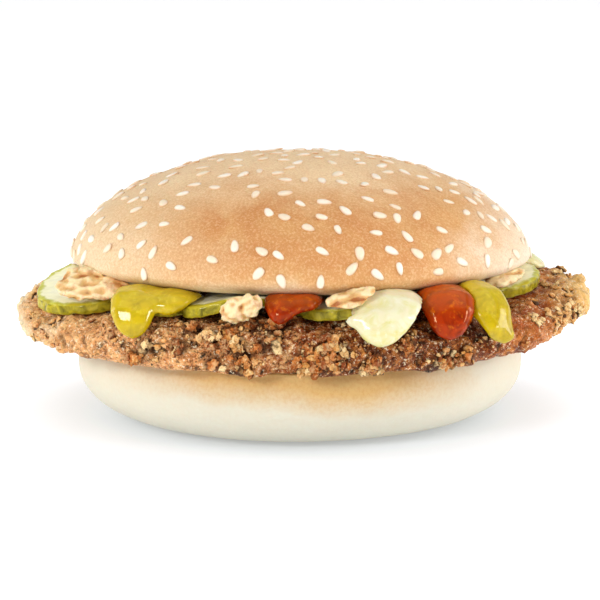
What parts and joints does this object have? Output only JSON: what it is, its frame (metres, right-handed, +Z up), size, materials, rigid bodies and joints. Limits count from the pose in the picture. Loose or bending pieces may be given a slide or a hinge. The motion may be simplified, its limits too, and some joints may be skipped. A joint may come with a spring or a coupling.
{
  "type": "chicken burger",
  "caption": "Breaded chicken cutlet wider than its sesame bun, with gherkin slices, crisp fried onion and drips of mustard, ketchup and mayonnaise at the edge.",
  "frame": {"origin": "middle of the flat underside of the lower bun", "axes": "+Z up; -Y is the front, where most of the filling shows; the cutlet is longest along X"},
  "size_m": [0.152, 0.1302, 0.0694],
  "materials": {
    "soft_crust": "soft pale crust of a lower bun, toasted tan round the cut",
    "seeded_crust": "matte baked crust, pale at the rim, with raw sesame seeds",
    "fried_coating": "crisp fried crumb coating, rough, with small oily glints",
    "gherkin": "wet pickled cucumber slice with a darker skin",
    "mustard": "smooth wet mustard",
    "ketchup": "smooth wet tomato ketchup",
    "mayonnaise": "smooth creamy mayonnaise",
    "fried_onion": "crisp fried onion, browned at its edges"
  },
  "bodies": {
    "root": {"bun_heel": "soft_crust", "chicken_patty": "fried_coating", "bun_crown": "seeded_crust", "pickle_left": "gherkin", "pickle_front_left": "gherkin", "pickle_front": "gherkin", "pickle_middle": "gherkin", "pickle_right": "gherkin", "pickle_back_right": "gherkin", "pickle_back": "gherkin", "pickle_back_left": "gherkin", "mustard_left": "mustard", "mustard_right": "mustard", "mustard_back": "mustard", "ketchup_middle": "ketchup", "ketchup_right": "ketchup", "ketchup_back": "ketchup", "mayonnaise_front": "mayonnaise", "mayonnaise_back": "mayonnaise", "onion_left": "fried_onion", "onion_front": "fried_onion", "onion_middle": "fried_onion", "onion_right": "fried_onion", "onion_back": "fried_onion", "onion_back_left": "fried_onion"}
  },
  "joints": []
}
